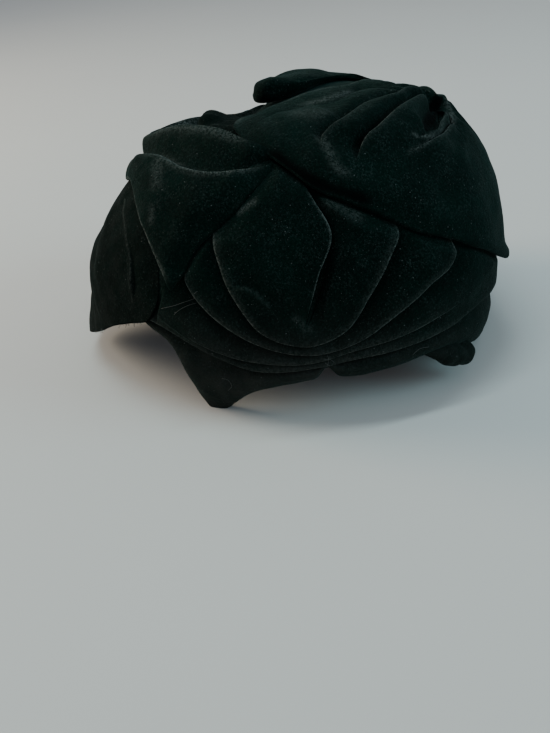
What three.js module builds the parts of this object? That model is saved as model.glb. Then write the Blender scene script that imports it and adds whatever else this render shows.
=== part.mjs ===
// A draped velvet hat: a fitted cap covered by pleated side swags, a gathered front drape,
// a folded wrap and a pointed flap at the back, a rolled loop on top and a small roll end at the rim.
// Millimetres, +Z up. The front of the hat faces -Y and the wearer's right is -X.
//
// Every cloth piece is laid out on one dome. A place on it has an azimuth, 0 at the front,
// 90 at the wearer's right and 180 at the back, an elevation in degrees above the plane that
// the hat rests on, and a lift, its distance outward from the dome.
import * as THREE from 'three';

// ---- driving sizes -------------------------------------------------------------------------
const DOME = { halfLength: 88, halfWidth: 84, height: 107, planPower: 2.2, risePower: 3.3 };
const DOME_Y = -6.2; // the middle of the dome, so that the whole hat is about centred on the origin
const CROWN_WALL = 1.8;
const SWAG_WALL = 2.2;
const DRAPE_WALL = 2.0;
const WRAP_WALL = 1.5;
const FLAP_WALL = 1.6;
const CROWN_LIFT = -5; // the cap's outer face, below the drapery
const GAP = 0.5; // between cloth pieces that lie on one another
const SEAM_AZ = 0.4; // half the slit between the two swags at the centre front, in degrees
const WELD = 1e-4; // points nearer than this are one

// ---- materials -----------------------------------------------------------------------------
const velvet = (name, color) =>
  new THREE.MeshStandardMaterial({ name, color, roughness: 0.95, metalness: 0 });
const blackVelvet = velvet('black_velvet', 0x0a1210);
const capCloth = velvet('cap_velvet', 0x0c1412);

// ---- small helpers -------------------------------------------------------------------------
const rad = THREE.MathUtils.degToRad;
const mix = THREE.MathUtils.lerp;
const step = THREE.MathUtils.smoothstep;
const bell = (x, width) => Math.exp(-((x / width) ** 2));

// how far the dome is drawn in at the front rim and at the two nape corners
const TUCKS = [
  { az: 0, width: 30, rise: 13, depth: 5.5 },
  { az: 117, width: 11, rise: 9, depth: 5 },
];

// where the top sags: places are degrees from the pole, to the front and to the wearer's right
const HOLLOWS = [
  { place: [-13, -19], width: 17.5, depth: 12.5 },
  { place: [22, -16], width: 9, depth: 3 },
  { place: [-40, -8], width: 14, depth: 4.5 },
];

// the dome seen from above: degrees from the pole, u to the front and v to the wearer's right
const toPlan = ([az, el]) => [(90 - el) * Math.cos(rad(az)), (90 - el) * Math.sin(rad(az))];
const fromPlan = ([u, v]) => [THREE.MathUtils.radToDeg(Math.atan2(v, u)), 90 - Math.hypot(u, v)];
const apart = ([au, av], [bu, bv]) => Math.hypot(au - bu, av - bv);
const MM_PER_DEGREE = 1.6;

// how far the dome is drawn in at a place
function drawnIn(az, el) {
  let sum = 0;
  for (const t of TUCKS) sum += t.depth * bell(Math.abs(az) - t.az, t.width) * bell(el, t.rise);
  for (const h of HOLLOWS) sum += h.depth * bell(apart(toPlan([az, el]), h.place), h.width);
  return sum;
}

function onDome(az, el, lift) {
  const { halfLength, halfWidth, height, planPower, risePower } = DOME;
  const level = Math.cos(rad(el));
  const way = new THREE.Vector3(-level * Math.sin(rad(az)), -level * Math.cos(rad(az)), Math.sin(rad(el)));
  const plan = Math.abs(way.y / halfLength) ** planPower + Math.abs(way.x / halfWidth) ** planPower;
  const sum = plan ** (risePower / planPower) + Math.abs(way.z / height) ** risePower;
  const reach = sum ** (-1 / risePower) + lift - drawnIn(az, el);
  return way.multiplyScalar(reach).add(new THREE.Vector3(0, DOME_Y, 0));
}

// a smooth curve through the rows of a table, t from 0 at the first row to 1 at the last
function spline(rows, t) {
  const last = rows.length - 1;
  const k = Math.min(Math.floor(t * last), last - 1);
  const f = t * last - k;
  const at = (i) => rows[Math.min(Math.max(i, 0), last)];
  return at(k).map((b, c) => {
    const [a, d, e] = [at(k - 1)[c], at(k + 1)[c], at(k + 2)[c]];
    return b + 0.5 * f * (d - a + f * (2 * a - 5 * b + 4 * d - e + f * (3 * (b - d) + e - a)));
  });
}

// the value at an azimuth in a table of [azimuth, value]
function byAzimuth(table, az) {
  const next = Math.max(1, table.findIndex(([at]) => at >= Math.abs(az) - 1e-9));
  const [[a, low], [b, high]] = [table[next - 1], table[next]];
  return mix(low, high, (Math.abs(az) - a) / (b - a));
}

// the nearest place of an open or closed line in the plan: its distance in mm with a sign,
// positive to the right of the line's run, and how far along the line it is, 0 to 1
function nearest(line, [u, v]) {
  let best = { distance: Infinity, side: 1, along: 0 };
  for (let i = 0; i + 1 < line.length; i += 1) {
    const [au, av] = line[i];
    const [bu, bv] = [line[i + 1][0] - au, line[i + 1][1] - av];
    const f = Math.min(Math.max(((u - au) * bu + (v - av) * bv) / (bu * bu + bv * bv), 0), 1);
    const [du, dv] = [u - au - f * bu, v - av - f * bv];
    const distance = Math.hypot(du, dv) * MM_PER_DEGREE;
    if (distance < best.distance) {
      best = { distance, side: Math.sign(bv * du - bu * dv) || 1, along: (i + f) / (line.length - 1) };
    }
  }
  return best;
}

function isInside(outline, [u, v]) {
  let inside = false;
  outline.forEach(([au, av], i) => {
    const [bu, bv] = outline[(i + 1) % outline.length];
    if (av > v !== bv > v && u < ((bu - au) * (v - av)) / (bv - av) + au) inside = !inside;
  });
  return inside;
}

// the distance in mm that a place lies outside a closed outline, 0 under it
function outside(outline, place) {
  if (isInside(outline, place)) return 0;
  return nearest([...outline, outline[0]], place).distance;
}

// points that are kept once each and found again by where they are
function pointList() {
  const points = [];
  const seen = new Map();
  const add = (p, skin = '') => {
    const key = skin + p.toArray().map((x) => Math.round(x / WELD)).join();
    if (!seen.has(key)) {
      seen.set(key, points.length);
      points.push(p);
    }
    return seen.get(key);
  };
  return { points, add };
}

// a closed mesh that faces outward, without the faces that have shrunk to a line
function closedMesh(name, material, points, faces) {
  const triangles = faces.filter(([a, b, c]) => a !== b && b !== c && c !== a).flat();
  let volume = 0;
  for (let i = 0; i < triangles.length; i += 3) {
    const [a, b, c] = triangles.slice(i, i + 3).map((k) => points[k]);
    volume += a.dot(new THREE.Vector3().crossVectors(b, c));
  }
  if (volume < 0) triangles.reverse();
  const geometry = new THREE.BufferGeometry().setFromPoints(points);
  geometry.setIndex(triangles);
  geometry.computeVertexNormals();
  const mesh = new THREE.Mesh(geometry, material);
  mesh.name = name;
  return mesh;
}

// One closed body between two grids of points, rows[across][along]. Where the grid wraps
// round, the last point of each row is the first one again, and a row may shrink to a point.
function closedBody(name, material, outer, inner) {
  const { points, add } = pointList();
  const faces = [];
  const quad = (a, b, c, d) => faces.push([a, b, c], [a, c, d]);
  const top = outer.map((row) => row.map((p) => add(p, 'outer')));
  const under = inner.map((row) => row.map((p) => add(p, 'inner')));
  const rows = top.length - 1;
  const columns = top[0].length - 1;
  for (let i = 0; i < rows; i += 1) {
    for (let j = 0; j < columns; j += 1) {
      quad(top[i][j], top[i][j + 1], top[i + 1][j + 1], top[i + 1][j]);
      quad(under[i][j], under[i + 1][j], under[i + 1][j + 1], under[i][j + 1]);
    }
  }
  for (let j = 0; j < columns; j += 1) {
    if (top[0][j] !== top[0][j + 1]) quad(under[0][j], under[0][j + 1], top[0][j + 1], top[0][j]);
    quad(top[rows][j], top[rows][j + 1], under[rows][j + 1], under[rows][j]);
  }
  if (top[0][0] !== top[0][columns] || top[rows][0] !== top[rows][columns]) {
    for (let i = 0; i < rows; i += 1) {
      quad(top[i][0], top[i + 1][0], under[i + 1][0], under[i][0]);
      quad(under[i][columns], under[i + 1][columns], top[i + 1][columns], top[i][columns]);
    }
  }
  return closedMesh(name, material, points, faces);
}

// a closed body round a row of rings, with a point in the middle of each end
function tubeBody(name, material, rings) {
  const { points, add } = pointList();
  const middle = (ring) => {
    const sum = ring.slice(1).reduce((total, p) => total.add(p), new THREE.Vector3());
    return ring.map(() => sum.clone().divideScalar(ring.length - 1));
  };
  const skin = [middle(rings[0]), ...rings, middle(rings[rings.length - 1])];
  const ids = skin.map((ring) => ring.map((p) => add(p)));
  const faces = [];
  for (let i = 0; i + 1 < ids.length; i += 1) {
    for (let j = 0; j + 1 < ids[i].length; j += 1) {
      const [a, b, c, d] = [ids[i][j], ids[i][j + 1], ids[i + 1][j + 1], ids[i + 1][j]];
      faces.push([a, b, c], [a, c, d]);
    }
  }
  return closedMesh(name, material, points, faces);
}

// a grid of places made by a function of across and along, both 0 to 1
function grid(across, along, place) {
  const rows = [];
  for (const a of across) {
    const row = [];
    for (let j = 0; j <= along; j += 1) row.push(place(a, j / along));
    rows.push(row);
  }
  return rows;
}

const evenly = (count) => Array.from({ length: count + 1 }, (_, i) => i / count);

// ---- outlines and fold lines, [azimuth, elevation] -------------------------------------------
// the front drape's free edge on the wearer's right, from the centre front to the twist over
// the ear, and the edge behind it that climbs to the top
const DRAPE_EDGE = [
  [0, 21], [10, 21.5], [17, 23], [27, 27.5], [36, 32], [43, 35], [56, 40.5], [64, 44.5], [75, 49.5], [84, 53],
  [91, 57], [98, 61.4],
];
const DRAPE_BACK = [[104, 64.6], [112, 68], [121, 70.6], [129, 72.4], [137, 75.4], [146, 79.5], [158, 84]];
const GATHER = [0, 58]; // where the drape's folds meet, at the top of the front

// the wrap's free lower edge, from the twist to the point of its tail and on to the back
const WRAP_TAIL = [[98, 58], [109, 49], [119, 41.8], [124.6, 34.4], [136, 42.8], [150, 49.5], [180, 48]];

// the flap's near side and its cut edge, from under the wrap's tail to the centre back
const FLAP_SIDE = [
  [150, 53], [136, 47], [129.5, 38], [129, 31], [131.5, 25], [135, 22.5], [150, 18], [180, 0],
];
const TWIST = [98, 59.5]; // where the drape, the wrap and the swag are drawn together over the ear

const otherSide = (rows) => rows.map(([az, ...rest]) => [-az, ...rest]).reverse();
const plan = (rows) => rows.map(toPlan);
const drapeOutline = plan([...DRAPE_EDGE, ...DRAPE_BACK, ...otherSide(DRAPE_BACK), ...otherSide(DRAPE_EDGE)]);
const wrapOutline = plan([...WRAP_TAIL, [180, 66], [150, 69], [125, 69], [108, 66]]);
const flapOutline = plan([...FLAP_SIDE, [180, 52]]);

// the top loop's outline in the plan, u and v
const loopOutline = [
  [24, -13], [16, -15.5], [9, -13.5], [3.5, -9], [-2, -6.5], [-6, -5.5], [-8.5, -9],
  [-8.5, -15], [-5, -21], [3, -25.5], [13, -26], [21, -23], [25, -18],
];

// ---- crown: the fitted cap -----------------------------------------------------------------
// the cap's rim, [azimuth, elevation], kept just above the drapery's and level where it rests
const CROWN_RIM = [
  [0, 0], [9, 0], [18, 7], [30, 12.5], [45, 15], [60, 15.5], [75, 15.5], [90, 16], [105, 12.5],
  [120, 15], [135, 25], [150, 26], [180, 26],
];
// the cap shows at the top of the back, where it comes out to the drapery
const CROWN_SHOW = { width: 62, from: 66, full: 70, fade: 84, to: 88, lift: 3.8 };
const CROWN_FRONT = { place: [-4, 57], width: 9, lift: 4 }; // where it swells to carry the gather

function crownLift(az, el) {
  const { width, from, full, fade, to, lift } = CROWN_SHOW;
  const shown = bell(180 - Math.abs(az), width) * step(el, from, full) * (1 - step(el, fade, to));
  const swell = bell(apart(toPlan([az, el]), toPlan(CROWN_FRONT.place)), CROWN_FRONT.width);
  return CROWN_LIFT + lift * shown + CROWN_FRONT.lift * swell;
}

function makeCrown() {
  const place = (under) => (a, t) => {
    const az = mix(-180, 180, t);
    const el = mix(90, byAzimuth(CROWN_RIM, az), a);
    return onDome(az, el, crownLift(az, el) - under);
  };
  const across = [0, 0.09, 0.18, 0.25, 0.32, 0.43, 0.56, 0.7, 0.85, 1];
  const skins = [0, CROWN_WALL].map((under) => grid(across, 40, place(under)));
  return closedBody('crown', capCloth, ...skins);
}

// ---- side swags: nested pleats that hang from the crown like swags and meet under the ear -----
// Each row is a fold's crest, from its end at the back, down to the tack under the ear and up
// to its end at the front. top is the crest's lift and foot that of the cloth just below it.
const PLEATS = [
  {
    name: 'centre', top: 4, foot: 4,
    line: [
      [108, 60.5], [98, 61], [89.5, 56], [84.2, 49.4], [82, 43], [89, 29.5],
      [83.9, 38.4], [82.1, 45.8], [84.5, 50], [87.5, 54.5], [92, 59],
    ],
  },
  {
    name: 'first', top: 4.2, foot: 0.4,
    line: [
      [119, 52], [115, 46], [112, 40], [108, 33], [101, 25.5], [90, 22.3],
      [80, 25], [74, 31], [68, 37], [63, 43.5], [67, 53],
    ],
  },
  {
    name: 'second', top: 3.2, foot: -0.8,
    line: [
      [129, 48], [122, 42], [121.5, 35], [114, 28.5], [103, 23], [90, 20],
      [78, 21.5], [67, 26], [57, 30], [48, 33.5], [45, 45],
    ],
  },
  {
    name: 'third', top: 2.2, foot: -1.4, fade: [0.78, 0.88],
    line: [
      [148, 32], [139, 27.5], [130, 26], [119, 21.6], [105, 18.5], [90, 17.7],
      [79, 19.5], [67, 20.6], [56, 21.8], [42, 24], [SEAM_AZ, 34],
    ],
  },
  {
    name: 'fourth', top: 1.2, foot: -2,
    line: [
      [148, 28.5], [139, 24.6], [129, 23.4], [117, 19.8], [104, 15.8], [89, 16.2],
      [78, 17.2], [66, 17.4], [53, 17.8], [33, 19], [SEAM_AZ, 15.5],
    ],
  },
  {
    name: 'rim', top: -2.2, foot: -2.2,
    line: [
      [148, 27], [138, 22.4], [128, 17.2], [120.5, -0.8], [106, 8.8], [88, 12.6],
      [77, 12.2], [65, 12.4], [50, 12.2], [27, 4.8], [SEAM_AZ, 1],
    ],
  },
];
const INNER_VALLEY = { foot: -1.4, from: 0.48, to: 0.56 }; // beside the centre panel, along its row
const RIM_SWELL = 2.2; // how far the lowest pleat swells out
const NOTCH = { az: 85.3, width: 2, rise: 2, rows: 3.5 }; // the tack draws up what lies past that row
const FRONT_DIP = { width: 17, depth: 3.2 }; // how the rim comes down round the centre front
const VALLEY_FLOOR = 0.1; // the highest the swag may come under the drape and the wrap
const FLAP_FLOOR = -1.3; // and under the flap
const FLOOR_SLOPE = 0.95; // how steeply it may rise beside them
const TWIST_DIP = { depth: 2.8, width: 14 }; // the swag sinks below the twist, both in mm
const SWAG_INNER = -4.6;

// the samples across each pleat: how far to the next crest, and how much of the climb is done
const PLEAT_PROFILE = [
  { reach: 0.05, climb: 0 },
  { reach: 0.5, climb: 0.75 },
  { reach: 0.97, climb: 1 },
];

function swagLift(k, profile, s, where) {
  const from = PLEATS[k];
  const to = PLEATS[k + 1];
  let foot = from.foot;
  if (k === 0) foot = mix(from.foot, INNER_VALLEY.foot, step(s, INNER_VALLEY.from, INNER_VALLEY.to));
  if (from.fade) foot = mix(from.foot, from.top, step(s, ...from.fade));
  const swell = to.name === 'rim' ? RIM_SWELL * Math.sin(Math.PI * profile.reach) : 0;
  const lift = mix(foot, to.top, profile.climb) + swell;
  const free = Math.min(outside(drapeOutline, where), outside(wrapOutline, where));
  const underDrape = VALLEY_FLOOR + FLOOR_SLOPE * Math.max(0, free - GAP);
  const underFlap = FLAP_FLOOR + FLOOR_SLOPE * Math.max(0, outside(flapOutline, where) - GAP);
  const toTwist = MM_PER_DEGREE * apart(where, toPlan(TWIST));
  return Math.min(lift, underDrape, underFlap) - TWIST_DIP.depth * bell(toTwist, TWIST_DIP.width);
}

// side is 1 for the wearer's right and -1 for the left
function makeSwag(name, side) {
  const samples = [];
  for (let k = 0; k + 1 < PLEATS.length; k += 1) {
    for (const profile of PLEAT_PROFILE) samples.push({ k, profile });
  }
  samples.push({ k: PLEATS.length - 2, profile: { reach: 1, climb: 1 } });
  const place = (under) => (sample, s) => {
    const { k, profile } = sample;
    const [azA, elA] = spline(PLEATS[k].line, s);
    const [azB, elB] = spline(PLEATS[k + 1].line, s);
    const az = mix(azA, azB, profile.reach);
    const pulled = Math.max(0, k + profile.reach - NOTCH.rows);
    const rise = NOTCH.rise * pulled * bell(az - NOTCH.az, NOTCH.width);
    const rim = k + 2 === PLEATS.length ? profile.reach : 0;
    const dip = FRONT_DIP.depth * rim * bell(az, FRONT_DIP.width);
    const el = Math.max(mix(elA, elB, profile.reach) + rise - dip, 0);
    const lift = swagLift(k, profile, s, toPlan([az, el]));
    return onDome(side * az, el, under ? Math.max(lift - SWAG_WALL, SWAG_INNER) : lift);
  };
  const skins = [false, true].map((under) => grid(samples, 30, place(under)));
  return closedBody(name, blackVelvet, ...skins);
}

// ---- front drape ---------------------------------------------------------------------------
// Fold crests on the drape. high is the crest's height and deep the valley on the side that
// `valley` names, both in mm; wide is how far the crest and the valley reach.
const DRAPE_FOLDS = [
  {
    name: 'crest', high: 1.4, deep: 2, wide: [9, 7], valley: -1,
    line: [[-12, 65], [-21, 68], [-24, 71], [-11, 77], [2, 84.2], [73, 85.8], [105, 82.2]],
  },
  {
    name: 'ridge', high: 1.6, deep: 0.6, wide: [8, 9], valley: 1,
    line: [[-15, 67], [-8, 71], [7, 77], [23, 82], [45, 85], [90, 81]],
  },
  {
    name: 'upper_fold', high: 3.2, deep: 2.6, wide: [8, 7], valley: -1,
    line: [[2, 63], [7, 66], [20, 67.6], [46, 69.4], [66, 66.4], [77, 63.8], [77, 60.5], [74, 55.5]],
  },
  {
    name: 'lower_fold', high: 3.4, deep: 4, wide: [9, 6], valley: -1,
    line: [[4, 61], [12, 63], [37, 64], [56, 61.5], [64, 60], [69, 57]],
  },
  {
    name: 'pocket', high: 1.6, deep: 1.4, wide: [6, 6], valley: -1,
    line: [[8, 56], [19, 56], [39, 56], [48, 56]],
  },
  {
    name: 'front_fold', high: 1.6, deep: 0.8, wide: [10, 10], valley: 1,
    line: [[6, 56], [16, 51], [27, 48], [34, 42]],
  },
];
const POCKET = { place: [20, 58.5], width: 5, depth: 6 }; // the deep hole beside the gather
const GATHER_BUMP = { place: [-8, 57], width: 5.5, lift: 2.9 };
const FRONT_SWELL = { width: 48, lift: 1.6, begins: [26, 40], ends: [44, 54] }; // by elevation
const DRAPE_REST = { top: 0.6, sides: 3.2, from: 6, to: 28 }; // its lift, by degrees from the pole
const DRAPE_MARGIN = 1; // between the cap and the cloth in a valley
const CALM = { edge: 6, loop: 3 }; // folds die away this near the edge and the loop
const FOLDED = [85, 205]; // where the folds fan out about the gather, in degrees from the front
const CLIFF = 1.6; // how far a crest takes to fall to its valley
const FOLD_ENDS = { in: 0.12, out: 0.86 }; // where along its line a fold is full and begins to fade

function foldHeight(fold, where) {
  const { distance, side, along } = nearest(fold.plan, where);
  const fade = step(along, 0, FOLD_ENDS.in) * (1 - step(along, FOLD_ENDS.out, 1));
  const crest = fold.high * bell(distance, fold.wide[0]);
  if (side !== fold.valley) return crest * fade;
  const fall = step(distance, 0, CLIFF);
  const valley = -fold.deep * bell(distance - CLIFF, fold.wide[1]);
  return mix(fold.high, valley, fall) * fade;
}

DRAPE_FOLDS.forEach((fold) => {
  fold.plan = plan(fold.line);
});

function drapeBase(where) {
  const [az, el] = fromPlan(where);
  const gather = GATHER_BUMP.lift * bell(apart(where, toPlan(GATHER_BUMP.place)), GATHER_BUMP.width);
  const { width, lift, begins, ends } = FRONT_SWELL;
  const front = lift * bell(az, width) * step(el, ...begins) * (1 - step(el, ...ends));
  const rest = mix(DRAPE_REST.top, DRAPE_REST.sides, step(90 - el, DRAPE_REST.from, DRAPE_REST.to));
  return rest + gather + front;
}

function drapeLift(where) {
  let relief = 0;
  for (const fold of DRAPE_FOLDS) relief += foldHeight(fold, where);
  relief -= POCKET.depth * bell(apart(where, toPlan(POCKET.place)), POCKET.width);
  const edge = nearest([...drapeOutline, drapeOutline[0]], where).distance;
  const calm = step(edge, 0, CALM.edge) * step(outside(loopOutline, where), 0, CALM.loop);
  const least = crownLift(...fromPlan(where)) + DRAPE_MARGIN + DRAPE_WALL;
  return Math.max(drapeBase(where) + relief * calm, least);
}

// the angle of the ray at t, 0 to 1, about the gather: half the rays lie where the folds are
function foldedTurn(t) {
  const [from, to] = FOLDED;
  const rest = 360 - (to - from);
  return rad(t < 0.5 ? mix(from, to, t / 0.5) : to + (rest * (t - 0.5)) / 0.5);
}

function makeFrontDrape() {
  const centre = toPlan(GATHER);
  const rim = [...drapeOutline, drapeOutline[0]];
  const place = (under) => (a, t) => {
    const turn = foldedTurn(t % 1);
    const way = [Math.cos(turn), Math.sin(turn)];
    const reach = a * rayReach(rim, centre, way);
    const where = [centre[0] + reach * way[0], centre[1] + reach * way[1]];
    const [az, el] = fromPlan(where);
    return onDome(az, el, drapeLift(where) - under);
  };
  const across = [0, 0.15, 0.29, 0.42, 0.54, 0.66, 0.78, 0.89, 1];
  const skins = [0, DRAPE_WALL].map((under) => grid(across, 56, place(under)));
  return closedBody('front_drape', blackVelvet, ...skins);
}

// how far a ray from a place inside a closed outline runs before it leaves it
function rayReach(rim, [cu, cv], [wu, wv]) {
  let reach = 0;
  for (let i = 0; i + 1 < rim.length; i += 1) {
    const [au, av] = [rim[i][0] - cu, rim[i][1] - cv];
    const [du, dv] = [rim[i + 1][0] - rim[i][0], rim[i + 1][1] - rim[i][1]];
    const cross = wu * dv - wv * du;
    if (Math.abs(cross) < 1e-9) continue;
    const t = (au * dv - av * du) / cross;
    const f = (au * wv - av * wu) / cross;
    if (t > 0 && f >= -1e-9 && f <= 1 + 1e-9) reach = Math.max(reach, t);
  }
  return reach;
}

// ---- wrap: a sheet folded twice along its top that goes round the back -----------------------
// [azimuth, elevation, lift] from the twist over the ear to the centre back
const WRAP_ROWS = [
  // tucked top edge
  [
    [98, 61, 0], [108, 64.6, 0.9], [119, 67.4, 1.2], [132, 68.4, 1.4], [145, 68, 1.4], [158, 66, 1.2],
    [170, 63.3, 0.8], [180, 61.4, 0.6],
  ],
  // upper crest
  [
    [98, 60.6, 0.4], [108, 62.8, 3.2], [119, 65.2, 4.4], [132, 66, 4.6], [145, 65, 4.4], [158, 62.2, 3.6],
    [170, 59, 3], [180, 57, 2.4],
  ],
  // dark valley between the crests
  [
    [98, 60, 0.2], [108, 60.2, 0.1], [119, 60, -1.2], [132, 60, -1.4], [145, 60, -1.2], [158, 58.4, -0.8],
    [170, 55.4, -0.8], [180, 53.5, -0.8],
  ],
  // lower crest
  [
    [97.5, 59.6, 0.8], [107.5, 57.2, 4], [118, 56, 5], [130, 56, 5], [142, 57, 4.8], [155, 55.5, 4],
    [168, 52.5, 2], [180, 50.5, 1.2],
  ],
  // body of the tail
  [
    [98, 59.1, 0.8], [108, 53.4, 3.2], [117, 48.8, 3.8], [127, 45.5, 4.4], [138, 48.4, 4.2], [150, 51.4, 3.6],
    [166, 50.3, 1.4], [180, 49, 0.2],
  ],
  // free edge
  [
    [98.5, 57.8, 0.8], [108, 50, 3], [118, 42.7, 3.4], [124.6, 34.2, 3.8], [136, 42.4, 3.7], [149, 49.1, 3.2],
    [165, 48.8, 1], [180, 48, -0.5],
  ],
];

// the rows of a piece that crosses the centre back, completed by their mirror image
const acrossTheBack = (rows) =>
  rows.map((row) => {
    const far = row.slice(0, -1).map(([az, el, lift]) => [360 - az, el, lift]);
    return [...row, ...far.reverse()];
  });

function loftedRows(rows, under) {
  return (a, t) => {
    const columns = rows.map((row) => spline(row, t));
    const [az, el, lift] = spline(columns, a);
    return onDome(az > 180 ? az - 360 : az, el, lift - under);
  };
}

function makeWrap() {
  const rows = acrossTheBack(WRAP_ROWS);
  const across = [0, 0.1, 0.2, 0.3, 0.4, 0.5, 0.6, 0.7, 0.85, 1];
  const outer = grid(across, 32, loftedRows(rows, 0));
  const inner = grid(across, 32, loftedRows(rows, WRAP_WALL));
  return closedBody('back_wrap', blackVelvet, outer, inner);
}

// ---- flap: the pointed tail that stands away from the nape -------------------------------------
const FLAP_ROWS = [
  // under the wrap
  [[131, 38, 1], [137, 46, 0.8], [144, 51, 0], [155, 53, -1.4], [168, 53, -2.6], [180, 53, -2.8]],
  [[130.5, 33, 1.2], [137, 40, 1.4], [145, 43, 1.2], [156, 45, 0], [168, 45, -2], [180, 45, -2.4]],
  [[131, 28.5, 1.2], [139, 32, 2], [147, 34.5, 3], [157, 36, 3.6], [168, 35.5, 4], [180, 35, 4.2]],
  [[133, 25.5, 1.4], [141, 26, 2.6], [149, 26, 5], [158, 24, 7.5], [169, 21, 10], [180, 19, 11.5]],
  // cut edge
  [[136, 23.4, 1.4], [143, 21.2, 3], [151, 17.6, 6.2], [159, 13, 9.5], [169, 8, 13.5], [180, 3.5, 16]],
];

function makeFlap() {
  const rows = acrossTheBack(FLAP_ROWS);
  const across = evenly(8);
  const outer = grid(across, 22, loftedRows(rows, 0));
  const inner = grid(across, 22, loftedRows(rows, FLAP_WALL));
  return closedBody('rear_flap', blackVelvet, outer, inner);
}

// ---- top loop: a soft roll that lies on the drape, on the wearer's left of its crest -----------
const LOOP_CENTRE = [7, -18];
const LOOP_HEIGHT = { back: 8.8, front: 0.4, from: -5, to: 17 }; // lower towards the front of the plan
const LOOP_REST = 1.1; // how far its underside lies above the drape
const LOOP_EDGE = 1; // its thickness at the edge
const LOOP_ROUND = 3; // how square the roll's section is

function makeTopLoop() {
  const rim = [...loopOutline, loopOutline[0]];
  const place = (raised) => (a, t) => {
    const turn = 2 * Math.PI * (t % 1);
    const way = [Math.cos(turn), Math.sin(turn)];
    const reach = a * rayReach(rim, LOOP_CENTRE, way);
    const where = [LOOP_CENTRE[0] + reach * way[0], LOOP_CENTRE[1] + reach * way[1]];
    const [az, el] = fromPlan(where);
    const { back, front, from, to } = LOOP_HEIGHT;
    const body = mix(back, front, step(where[0], from, to)) * (1 - a ** LOOP_ROUND) ** (1 / LOOP_ROUND);
    return onDome(az, el, drapeBase(where) + LOOP_REST + (raised ? LOOP_EDGE + body : 0));
  };
  const across = [0, 0.35, 0.65, 0.85, 0.96, 1];
  const skins = [true, false].map((raised) => grid(across, 22, place(raised)));
  return closedBody('top_loop', blackVelvet, ...skins);
}

// ---- rim roll end: the rolled end of the lowest fold, which stands out under the rim -----------
const ROLL_SIDES = 10;
const ROLL_END = [
  // azimuth, elevation, lift, radius
  [57.5, 12.2, -2.6, 0.3], [54.5, 11.2, -2.3, 2.2], [51.5, 9.7, -2, 3.8], [48, 8.1, -1.8, 4.6],
  [45, 7.2, -1.8, 4.9], [42, 6.7, -1.8, 4.6], [40, 6.5, -1.9, 3.5], [38.6, 6.4, -2, 0.3],
];

function makeRollEnd() {
  const rings = evenly(9).map((t) => {
    const [az, el, lift, radius] = spline(ROLL_END, t);
    const centre = onDome(az, el, lift);
    const out = new THREE.Vector3(-Math.sin(rad(az)), -Math.cos(rad(az)), 0);
    const up = new THREE.Vector3(0, 0, 1);
    return Array.from({ length: ROLL_SIDES + 1 }, (_, k) => {
      const turn = (2 * Math.PI * (k % ROLL_SIDES)) / ROLL_SIDES;
      return centre
        .clone()
        .addScaledVector(out, radius * Math.cos(turn))
        .addScaledVector(up, radius * Math.sin(turn));
    });
  });
  return tubeBody('rim_roll_end', blackVelvet, rings);
}

// ---- assembly ------------------------------------------------------------------------------
const group = new THREE.Group();
group.add(makeCrown());
group.add(makeSwag('side_swag_right', 1));
group.add(makeSwag('side_swag_left', -1));
group.add(makeFrontDrape());
group.add(makeWrap());
group.add(makeFlap());
group.add(makeTopLoop());
group.add(makeRollEnd());

export default group;
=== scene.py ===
"""The looks of a draped black velvet hat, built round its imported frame.

A place on the hat is on the frame's own dome: an azimuth, 0 at the front, 90 at the wearer's right
and 180 at the back, an elevation above the plane that the hat rests on, and a lift outward.
Tables are in degrees and millimetres, meshes in metres. Every velvet piece is a row of closed
rings, or a sheet of plies: each ply starts hidden under one fold and rolls over at the next.
"""

import bpy
import numpy as np
from mathutils import Matrix, Vector
from mathutils.bvhtree import BVHTree


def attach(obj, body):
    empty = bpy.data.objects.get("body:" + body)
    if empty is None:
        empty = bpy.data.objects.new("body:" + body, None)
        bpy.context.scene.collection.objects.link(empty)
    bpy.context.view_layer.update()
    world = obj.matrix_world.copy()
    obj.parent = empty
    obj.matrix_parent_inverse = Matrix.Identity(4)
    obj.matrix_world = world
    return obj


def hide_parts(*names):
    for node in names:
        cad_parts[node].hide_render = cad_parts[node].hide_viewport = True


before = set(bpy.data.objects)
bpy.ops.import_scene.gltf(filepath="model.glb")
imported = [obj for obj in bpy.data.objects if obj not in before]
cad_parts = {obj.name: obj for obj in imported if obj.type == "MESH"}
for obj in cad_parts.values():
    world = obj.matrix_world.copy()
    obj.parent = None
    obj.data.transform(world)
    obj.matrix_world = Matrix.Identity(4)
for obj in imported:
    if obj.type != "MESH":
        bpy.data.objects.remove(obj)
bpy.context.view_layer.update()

MM = 0.001


def table(columns, *rows):
    """Rows as dictionaries with the columns' names. A short row has no value for the last columns."""
    return [dict(zip(columns.split(), row)) for row in rows]


# ---- the dome, as in the frame
HALF_LENGTH, HALF_WIDTH, HEIGHT = 88.0, 84.0, 107.0
PLAN_POWER, RISE_POWER = 2.2, 3.3
DOME_Y = -6.2
TUCKS = table("az width rise depth", (0, 30, 13, 5.5), (117, 11, 9, 5))
# where the top sags: places are degrees from the pole, to the front and to the wearer's right
HOLLOWS = table("spot width depth", ([-13, -19], 17.5, 12.5), ([22, -16], 9, 3), ([-40, -8], 14, 4.5))
MM_PER_DEGREE = 1.6
SOFTNESS = 0.5  # of soft_min, in mm
WAVES = 10


def mix(a, b, t):
    return a + (b - a) * t


def step(x, low, high):
    t = np.clip((x - low) / (high - low), 0, 1)
    return t * t * (3 - 2 * t)


def plateau(x, start, full, fade, gone):
    """0 up to start, 1 from full to fade, and 0 again once gone."""
    return step(x, start, full) * (1 - step(x, fade, gone))


def bell(x, width):
    return np.exp(-((x / width) ** 2))


def bump(x, high, width):
    return high * bell(x, width)


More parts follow.
